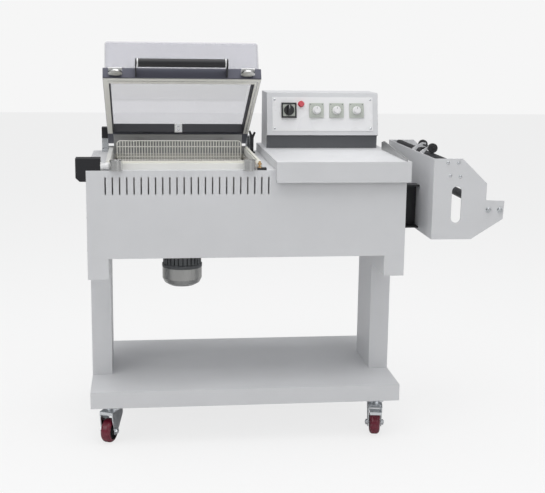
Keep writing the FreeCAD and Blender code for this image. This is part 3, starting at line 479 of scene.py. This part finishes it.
def scatter(name: str, kind: Fastener, spots: Iterable[tuple[Point, Point]], finish: Finish,
            body: str) -> bpy.types.Object:
    """Make one piece of several equal fasteners.

    Args:
        name: The piece's name.
        kind: What each fastener is.
        spots: The place and outward direction of each.
        finish: What they are finished with.
        body: The body that carries them.

    Returns:
        The new object.
    """
    shape = bmesh.new()
    for place, direction in spots:
        kind.add(shape, place, direction)
    return finish_mesh(name, shape, finish, body)


def node_box(node: str) -> tuple[Vector, Vector]:
    """Return the lowest and highest corners of a construction node at rest.

    Args:
        node: The construction node.

    Returns:
        Its lowest and highest corners.
    """
    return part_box(node)


def dress_node(node: str, finish: Finish) -> None:
    """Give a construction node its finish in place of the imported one.

    Args:
        node: The construction node.
        finish: What it is finished with.
    """
    piece = frame["nodes"][node]
    piece.data.materials.clear()
    piece.data.materials.append(finish.material())


def dress_zones(node: str, finishes: Sequence[Finish],
                choose: Callable[[Vector, Vector], int]) -> None:
    """Give the faces of one node several finishes.

    Args:
        node: The construction node.
        finishes: The finishes to choose from.
        choose: Returns the number of a face's finish from its centre and its normal.
    """
    piece = frame["nodes"][node]
    piece.data.materials.clear()
    for finish in finishes:
        piece.data.materials.append(finish.material())
    for face in piece.data.polygons:
        face.material_index = choose(face.center, face.normal)


def joint(name: str) -> dict:
    """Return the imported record's joint of that name.

    Args:
        name: The joint's name.

    Returns:
        The joint's entry, with its place, axis and range.
    """
    return next(j for j in frame["joints"] if j["name"] == name)


def turned_box(node: str, axes: Matrix) -> tuple[Vector, Vector]:
    """Return a node's box measured along other axes.

    Args:
        node: The construction node.
        axes: The axes' matrix in the machine's frame.

    Returns:
        Its lowest and highest corners in those axes.
    """
    back = axes.inverted()
    spots = [back @ v.co for v in frame["nodes"][node].data.vertices]
    low = Vector([min(p[k] for p in spots) for k in range(3)])
    high = Vector([max(p[k] for p in spots) for k in range(3)])
    return low, high


# ------------------------------------------------------------------ the machine's pieces

@dataclass
class Casing:
    """Casing: rivets on its sides, the painted-shade band on the control box, and two finishes
    each on the hinge blocks, wire terminal and motor.
    """

    rivet: Fastener = Fastener(0.0042, 0.0018)
    rivet_depths: tuple[float, ...] = (0.03, 0.53)
    rivet_heights: tuple[float, ...] = (0.02, 0.12)
    plinth_rise: float = 0.0435
    plinth_depth: float = 0.03
    buffer_rise: float = 0.0455
    terminal_base: float = 0.0072
    motor_cap: float = 0.0605

    def build(self) -> None:
        """Dress the sheet metal and add its rivets."""
        low, high = node_box("body_shell")
        side = [((x, low.y + y, low.z + z), (sign, 0, 0))
                for x, sign in ((low.x, -1), (high.x, 1))
                for y in self.rivet_depths for z in self.rivet_heights]
        scatter("casing_rivets", self.rivet, side, ZINC, "frame")
        # Painted shade: the control box's low front faces under its overhang get dark grey for the
        # shade that falls in the recess beneath the cabinet.
        plinth_top = node_box("work_table")[1].z + self.plinth_rise
        plinth_back = node_box("control_box")[0].y + self.plinth_depth
        dress_zones("control_box", (LIGHT_GREY, PLINTH_SHADE_GREY),
                    lambda spot, out: int(spot.z < plinth_top and spot.y < plinth_back))
        self.dress_upper("hinge_blocks", self.buffer_rise, ZINC, BLACK_PAINT)
        self.dress_upper("wire_terminal", self.terminal_base, BLACK_PLASTIC, BRASS)
        self.dress_upper("motor", self.motor_cap, BARE_CAST, MOTOR_GREY)
        LOG.info("casing: %d rivets", len(side))

    @staticmethod
    def dress_upper(node: str, rise: float, lower: Finish, upper: Finish) -> None:
        """Give a node one finish below a height and another above it.

        Args:
            node: The construction node.
            rise: The height over its lowest point.
            lower: The finish below.
            upper: The finish above.
        """
        level = node_box(node)[0].z + rise
        dress_zones(node, (lower, upper), lambda spot, out: int(spot.z > level))


@dataclass
class WireGrid:
    """White coated wire tray with its upright fence, in place of the plain mesh."""

    rim: float = 0.0021
    wire: float = 0.0020
    pitch: float = 0.009
    corner: float = 0.010
    rows: tuple[float, ...] = (0.0105, 0.0435)
    floor_spans: int = 8

    def ring(self, wide: float, rise: float) -> list[tuple[float, float]]:
        """Return a rounded rectangle's points.

        Args:
            wide: Its width.
            rise: Its height.

        Returns:
            Points round it, from the lower left corner.
        """
        points = []
        corners = ((self.corner, self.corner, 180), (wide - self.corner, self.corner, 270),
                   (wide - self.corner, rise - self.corner, 0),
                   (self.corner, rise - self.corner, 90))
        for x, y, start in corners:
            for step in range(5):
                angle = math.radians(start + 22.5 * step)
                points.append((x + self.corner * math.cos(angle),
                               y + self.corner * math.sin(angle)))
        return points

    def build(self) -> None:
        """Make the wires and let them stand for the construction's mesh."""
        low, high = node_box("product_grid")
        inset = self.rim
        wide, deep, rise = high.x - low.x - 2 * inset, high.y - low.y - 2 * inset, high.z - low.z
        shape = bmesh.new()
        x0, y0, z0 = low.x + inset, low.y + inset, low.z + inset
        back = high.y - inset
        add_tube(shape, [(x0 + u, back, z0 + v) for u, v in self.ring(wide, rise - 2 * inset)],
                 self.rim, 8, closed=True)
        add_tube(shape, [(x0 + u, y0 + v, z0) for u, v in self.ring(wide, deep)], self.rim, 8,
                 closed=True)
        count = int(wide / self.pitch)
        step = wide / count
        for index in range(1, count):
            x = x0 + index * step
            add_tube(shape, [(x, back, z0), (x, back, z0 + rise - 2 * inset)], self.wire, 6)
            add_tube(shape, [(x, y0, z0), (x, back, z0)], self.wire, 6)
        for up in self.rows:
            add_tube(shape, [(x0, back, z0 + up), (x0 + wide, back, z0 + up)], self.wire, 6)
        for index in range(1, self.floor_spans):
            y = y0 + deep * index / self.floor_spans
            add_tube(shape, [(x0, y, z0 - self.wire), (x0 + wide, y, z0 - self.wire)],
                     self.wire, 6)
        piece = finish_mesh("wire_grid", shape, WHITE_WIRE, "frame")
        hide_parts("product_grid")
        LOG.info("wire grid: %d upright wires", count - 1)


@dataclass
class ControlPanel:
    """Face of the control cabinet: screws, dial scales, knob pointers and the main switch's plate
    and line.
    """

    screw: Fastener = Fastener(0.0035, 0.0016)
    screw_inset: float = 0.008
    ticks: int = 11
    sweep: float = 270.0
    tick_start: float = 0.0163
    tick_end: float = 0.0190
    tick_half: float = 0.00035
    ink: float = 0.00012
    line_thick: float = 0.0003
    plate_screw: Fastener = Fastener(0.0018, 0.0008)
    plate_corner: float = 0.0195
    switch_frame: float = 0.0042

    def axes(self) -> Matrix:
        """Return axes on the leaning face.

        Returns:
            Axes with X to the right, Y up the face and Z outwards, from the main switch.
        """
        knob = joint("main_switch_turn")
        out = Vector(knob["axis"]).normalized()
        right = Vector((1.0, 0.0, 0.0))
        up = out.cross(right)
        turn = Matrix((right, up, out)).transposed().to_4x4()
        return Matrix.Translation(Vector(knob["pos_m"])) @ turn

    def build(self) -> None:
        """Add the panel's small pieces."""
        axes = self.axes()
        out = axes.to_3x3() @ Vector((0, 0, 1))
        low, high = turned_box("control_panel", axes)
        inset = self.screw_inset
        spots = [(axes @ Vector((x, y, high.z)), out) for x in (low.x + inset, high.x - inset)
                 for y in (low.y + inset, high.y - inset)]
        scatter("panel_screws", self.screw, spots, ZINC, "frame")
        for dial in ("heat", "seal", "cool"):
            self.scale(axes, dial + "_dial_turn")
            self.pointer(axes, dial)
        self.switch(axes)
        LOG.info("control panel: three scales and a switch")

    def scale(self, axes: Matrix, name: str) -> None:
        """Add a ring of tick marks and the corner screws of one instrument.

        Args:
            axes: The face's axes.
            name: The joint of the instrument's knob.
        """
        middle = axes.inverted() @ Vector(joint(name)["pos_m"])
        face = turned_box("dial_plates", axes)[1].z
        first = 90.0 + self.sweep / 2
        shape = bmesh.new()
        for index in range(self.ticks):
            angle = math.radians(first - self.sweep * index / (self.ticks - 1))
            mark = (axes @ Matrix.Translation((middle.x, middle.y, face))
                    @ Matrix.Rotation(angle, 4, "Z"))
            add_prism(shape, bar((self.tick_start, -self.tick_half),
                                 (self.tick_end, self.tick_half)), self.ink, mark)
        finish_mesh(name + "_scale", shape, MARK_GREY, "frame")
        out = axes.to_3x3() @ Vector((0, 0, 1))
        spots = [(axes @ Vector((middle.x + sign * self.plate_corner,
                                 middle.y + self.plate_corner, face)), out) for sign in (-1, 1)]
        scatter(name + "_screws", self.plate_screw, spots, MARK_GREY, "frame")

    def pointer(self, axes: Matrix, dial: str) -> None:
        """Add the line on top of one dial knob.

        Args:
            axes: The face's axes.
            dial: Which dial: heat, seal or cool.
        """
        node = dial + "_dial"
        middle = axes.inverted() @ Vector(joint(node + "_turn")["pos_m"])
        high = turned_box(node, axes)[1]
        shape = bmesh.new()
        mark = axes @ Matrix.Translation((middle.x, middle.y, high.z - 0.0001))
        add_prism(shape, bar((-0.0006, 0.003), (0.0006, 0.0098)), self.line_thick, mark)
        finish_mesh(node + "_pointer", shape, MARK_GREY, dial + "_knob")

    def switch(self, axes: Matrix) -> None:
        """Add the main switch's pale inner plate and the white line on its knob.

        Args:
            axes: The face's axes.
        """
        low, high = turned_box("switch_plate", axes)
        shape = bmesh.new()
        half = (high.x - low.x) / 2 - self.switch_frame
        middle = (low + high) / 2
        plate = axes @ Matrix.Translation((middle.x, middle.y, high.z - 0.0019))
        add_prism(shape, bar((-half, -half), (half, half)), 0.0004, plate)
        finish_mesh("switch_face", shape, DIAL_GREY, "frame")
        top = turned_box("switch_knob", axes)[1]
        line = bmesh.new()
        mark = axes @ Matrix.Translation((0.0, 0.0, top.z - 0.0001))
        add_prism(line, bar((-0.0009, 0.004), (0.0009, 0.0145)), self.line_thick, mark)
        finish_mesh("switch_pointer", line, WHITE_PLASTIC, "main_knob")


@dataclass
class Hood:
    """Hood: the grip's end rings, its screws and its sealing wire."""

    ring_bore: float = 0.0052
    ring_width: float = 0.0035
    screw: Fastener = Fastener(0.004, 0.0018)
    screw_shares: tuple[float, ...] = (0.28, 0.74)
    wire_depth: float = 0.00035
    wire_half: float = 0.0016

    def axes(self) -> Matrix:
        """Return the hood's own axes.

        Returns:
            Axes at the hinge, in which the hood lies as if shut.
        """
        hinge = joint("hood_hinge")
        turn = Matrix.Rotation(-math.radians(hinge["range_deg"][1]), 4, "X")
        return Matrix.Translation(Vector(hinge["pos_m"])) @ turn

    def build(self) -> None:
        """Add the hood's small pieces."""
        axes = self.axes()
        self.grip(axes)
        low, high = turned_box("rear_bracket", axes)
        out = axes.to_3x3() @ Vector((0, -1, 0))
        middle = (low.x + high.x) / 2
        spots = [(axes @ Vector((middle, low.y, low.z + (high.z - low.z) * share)), out)
                 for share in self.screw_shares]
        scatter("rear_bracket_screws", self.screw, spots, ZINC, "hood")
        self.seal_wire(axes)
        LOG.info("hood: grip rings, screws and sealing wire")

    def grip(self, axes: Matrix) -> None:
        """Add the white rings at the ends of the grip.

        Args:
            axes: The hood's axes.
        """
        low, high = turned_box("handle_grip", axes)
        middle = (low + high) / 2
        radius = (high.z - low.z) / 2
        shape = bmesh.new()
        for x, sign in ((low.x, -1), (high.x, 1)):
            place = axes @ looking((x, middle.y, middle.z), (sign, 0, 0))
            add_lathe(shape, [(self.ring_bore, 0.0), (radius * 1.02, 0.0),
                              (radius * 1.02, 0.8 * self.ring_width),
                              (radius * 0.9, self.ring_width), (self.ring_bore, self.ring_width)],
                      place, 28)
        finish_mesh("grip_rings", shape, WHITE_PLASTIC, "hood")

    def seal_wire(self, axes: Matrix) -> None:
        """Add the flat sealing wire along the upper jaw.

        Args:
            axes: The hood's axes.
        """
        low, high = turned_box("upper_jaw", axes)
        shape = bmesh.new()
        depth, half = self.wire_depth, self.wire_half
        front = low.y + 0.016
        side = high.x - 0.008
        plate = axes @ Matrix.Translation((0, 0, low.z - depth))
        add_prism(shape, bar((low.x + 0.012, front - half), (side, front + half)), depth, plate)
        add_prism(shape, bar((side - half, front + half), (side + half, high.y - 0.01)), depth,
                  plate)
        finish_mesh("seal_wire", shape, NICKEL, "hood")


@dataclass
class FilmCradle:
    """Film cradle: screws on its plates and the punch wheels' pins."""

    screw: Fastener = Fastener(0.0052, 0.003)
    screw_spots: tuple[tuple[float, float], ...] = ((0.043, 0.0125), (0.076, 0.0135),
                                                    (0.052, 0.0515), (0.083, 0.0545))
    nut: Fastener = Fastener(0.0075, 0.006, hexagon=True, washer=0.0088)
    nut_spots: tuple[tuple[float, float], ...] = ((0.176, 0.158), (0.212, 0.158))
    pins: int = 20
    pin_inset: float = 0.009

    def build(self) -> None:
        """Add the cradle's fasteners and pins."""
        low, high = node_box("cradle_front_plate")
        for name, kind, places in (("cradle_screws", self.screw, self.screw_spots),
                                   ("cradle_nuts", self.nut, self.nut_spots)):
            spots = [((low.x + x, low.y, high.z - z), (0, -1, 0)) for x, z in places]
            scatter(name, kind, spots, ZINC, "frame")
            LOG.info("film cradle: %d %s", len(spots), name)
        self.punch_pins()

    def punch_pins(self) -> None:
        """Add the ring of needles on each punch wheel."""
        low, high = node_box("punch_wheels")
        middle = (low + high) / 2
        radius = (high.z - low.z) / 2
        shape = bmesh.new()
        for y in (low.y + self.pin_inset, high.y - self.pin_inset):
            for index in range(self.pins):
                angle = math.tau * index / self.pins
                out = Vector((math.cos(angle), 0.0, math.sin(angle)))
                foot = Vector((middle.x, y, middle.z)) + out * (radius - 0.001)
                add_lathe(shape, [(0.0, 0.0), (0.0006, 0.0), (0.0, 0.0026)],
                          looking(foot, out), 6)
        finish_mesh("punch_pins", shape, NICKEL, "punch")


@dataclass
class Castors:
    """Four castors: their finishes and the bolts of their plates."""

    corners: tuple[str, ...] = ("front_left", "front_right", "rear_left", "rear_right")
    bolt: Fastener = Fastener(0.0065, 0.005, hexagon=True, washer=0.0082)
    bolt_spread: tuple[float, float] = (0.035, 0.025)
    plate_thick: float = 0.004
    tread_depth: float = 0.009

    def build(self) -> None:
        """Dress the castors and add their bolts."""
        under = node_box("castor_plates")[1].z - self.plate_thick
        wide, deep = self.bolt_spread
        spots = []
        for corner in self.corners:
            dress_node("castor_fork_" + corner, ZINC)
            self.dress_wheel("castor_wheel_" + corner, joint(corner + "_roll"))
            pivot = Vector(joint(corner + "_swivel")["pos_m"])
            spots += [((pivot.x + wide * i, pivot.y + deep * j, under), (0, 0, -1))
                      for i in (-1, 1) for j in (-1, 1)]
        scatter("castor_bolts", self.bolt, spots, ZINC, "frame")
        LOG.info("castors: %d bolts", len(spots))

    def dress_wheel(self, node: str, roll: dict) -> None:
        """Give a wheel its red tread and black web.

        Args:
            node: The wheel's construction node.
            roll: The wheel's rolling joint.
        """
        piece = frame["nodes"][node]
        piece.data.materials.clear()
        for finish in (RED_TREAD, BLACK_HUB):
            piece.data.materials.append(finish.material())
        middle, axis = Vector(roll["pos_m"]), Vector(roll["axis"]).normalized()
        low, high = node_box(node)
        limit = (high.z - low.z) / 2 - self.tread_depth
        for face in piece.data.polygons:
            spokes = [(piece.data.vertices[k].co - middle) for k in face.vertices]
            reach = max((s - axis * s.dot(axis)).length for s in spokes)
            face.material_index = 0 if reach > limit else 1


@dataclass
class Studio:
    """Pale floor, soft lamps and the camera."""

    offset: tuple[float, float, float] = (0.16239, -3.14045, 0.39352)
    yaw: float = 7.0721
    pitch: float = 11.1702
    roll: float = 0.7363
    lens: float = 70.534
    backdrop: float = 0.922
    floor_glow: float = 0.985
    sky: float = 0.58
    shade: float = 0.22
    floor_half: float = 14.0
    sky_steps: tuple[tuple[float, float], ...] = ((0.0, 0.5), (0.47, 0.35), (0.52, 0.12),
                                                  (0.62, 0.3), (0.80, 1.0))

    def build(self) -> None:
        """Make the floor, the world, the lamps and the camera."""
        self.floor()
        self.world()
        self.lamp("top_lamp", (0.0, -0.3, 3.4), (0.0, 0.0, 0.8), 3.2, 66.0)
        self.lamp("left_lamp", (-3.2, -2.6, 2.4), (0.0, 0.0, 0.8), 2.4, 27.0)
        self.lamp("front_lamp", (1.6, -4.2, 1.9), (0.1, 0.0, 0.7), 2.4, 22.0)
        self.camera()
        bpy.context.scene.view_settings.view_transform = "Standard"
        LOG.info("studio ready")

    def floor(self) -> None:
        """Make the floor, which takes the machine's shadow and meets the white backdrop."""
        half = self.floor_half
        mesh = bpy.data.meshes.new("floor")
        mesh.from_pydata([(-half, -half, 0), (half, -half, 0), (half, half, 0), (-half, half, 0)],
                         [], [(0, 1, 2, 3)])
        piece = bpy.data.objects.new("floor", mesh)
        bpy.context.scene.collection.objects.link(piece)
        material = bpy.data.materials.new("pale floor")
        material.use_nodes = True
        nodes, links = material.node_tree.nodes, material.node_tree.links
        shader = nodes["Principled BSDF"]
        shader.inputs["Base Color"].default_value = (0.8, 0.8, 0.8, 1.0)
        shader.inputs["Roughness"].default_value = 0.9
        glow = nodes.new("ShaderNodeEmission")
        glow.inputs["Color"].default_value = (1.0, 1.0, 1.0, 1.0)
        glow.inputs["Strength"].default_value = self.floor_glow
        path = nodes.new("ShaderNodeLightPath")
        share = nodes.new("ShaderNodeMath")
        share.operation = "MULTIPLY"
        share.inputs[1].default_value = 1.0 - self.shade
        links.new(path.outputs["Is Camera Ray"], share.inputs[0])
        mix = nodes.new("ShaderNodeMixShader")
        links.new(share.outputs[0], mix.inputs[0])
        links.new(shader.outputs[0], mix.inputs[1])
        links.new(glow.outputs[0], mix.inputs[2])
        links.new(mix.outputs[0], nodes["Material Output"].inputs["Surface"])
        mesh.materials.append(material)

    def world(self) -> None:
        """Make the world: soft light on the machine, and the pale backdrop that is seen."""
        world = bpy.data.worlds.new("studio")
        bpy.context.scene.world = world
        world.use_nodes = True
        nodes, links = world.node_tree.nodes, world.node_tree.links
        light = nodes["Background"]
        light.inputs["Strength"].default_value = self.sky
        place = nodes.new("ShaderNodeTexCoord")
        split = nodes.new("ShaderNodeSeparateXYZ")
        links.new(place.outputs["Generated"], split.inputs[0])
        height = nodes.new("ShaderNodeMapRange")
        height.inputs["From Min"].default_value = -1.0
        links.new(split.outputs["Z"], height.inputs["Value"])
        ramp = nodes.new("ShaderNodeValToRGB")
        for spot, grey in self.sky_steps:
            stop = ramp.color_ramp.elements.new(spot)
            stop.color = (0.97 * grey, 0.985 * grey, grey, 1.0)
        links.new(height.outputs[0], ramp.inputs[0])
        links.new(ramp.outputs[0], light.inputs["Color"])
        seen = nodes.new("ShaderNodeBackground")
        seen.inputs["Color"].default_value = (1.0, 1.0, 1.0, 1.0)
        seen.inputs["Strength"].default_value = self.backdrop
        path = nodes.new("ShaderNodeLightPath")
        either = nodes.new("ShaderNodeMath")
        either.operation = "MAXIMUM"
        links.new(path.outputs["Is Camera Ray"], either.inputs[0])
        links.new(path.outputs["Is Transmission Ray"], either.inputs[1])
        mix = nodes.new("ShaderNodeMixShader")
        links.new(either.outputs[0], mix.inputs[0])
        links.new(light.outputs[0], mix.inputs[1])
        links.new(seen.outputs[0], mix.inputs[2])
        links.new(mix.outputs[0], nodes["World Output"].inputs["Surface"])

    def lamp(self, name: str, place: Point, target: Point, size: float, power: float) -> None:
        """Add a soft square lamp.

        Args:
            name: The lamp's name.
            place: Where it hangs.
            target: What it points at.
            size: Length of its sides.
            power: Its power in watts.
        """
        light = bpy.data.lights.new(name, "AREA")
        light.shape = "SQUARE"
        light.size = size
        light.energy = power
        piece = bpy.data.objects.new(name, light)
        bpy.context.scene.collection.objects.link(piece)
        piece.location = place
        piece.rotation_euler = (Vector(target) - Vector(place)).to_track_quat("-Z", "Y").to_euler()

    def camera(self) -> None:
        """Stand the camera in front of the machine's left half, looking a little down."""
        low, high = node_box("body_shell")
        corner = Vector((low.x, low.y, high.z))
        yaw, pitch, roll = (math.radians(a) for a in (self.yaw, self.pitch, self.roll))
        ahead = Vector((math.sin(yaw) * math.cos(pitch), math.cos(yaw) * math.cos(pitch),
                        -math.sin(pitch)))
        level = Vector((math.cos(yaw), -math.sin(yaw), 0.0))
        over = level.cross(ahead)
        right = math.cos(roll) * level + math.sin(roll) * over
        up = -math.sin(roll) * level + math.cos(roll) * over
        data = bpy.data.cameras.new("camera")
        data.lens = self.lens
        data.sensor_width = 36.0
        piece = bpy.data.objects.new("camera", data)
        bpy.context.scene.collection.objects.link(piece)
        turn = Matrix((right, up, -ahead)).transposed().to_4x4()
        piece.matrix_world = Matrix.Translation(corner + Vector(self.offset)) @ turn
        bpy.context.scene.camera = piece


def main() -> None:
    """Dress the whole machine and set the studio."""
    logging.basicConfig(level=logging.INFO, format="%(message)s")
    for node, finish in NODE_FINISHES.items():
        dress_node(node, finish)
    for part in (Studio(), Casing(), WireGrid(), ControlPanel(), Hood(), FilmCradle(), Castors()):
        part.build()


if __name__ == "__main__":
    main()
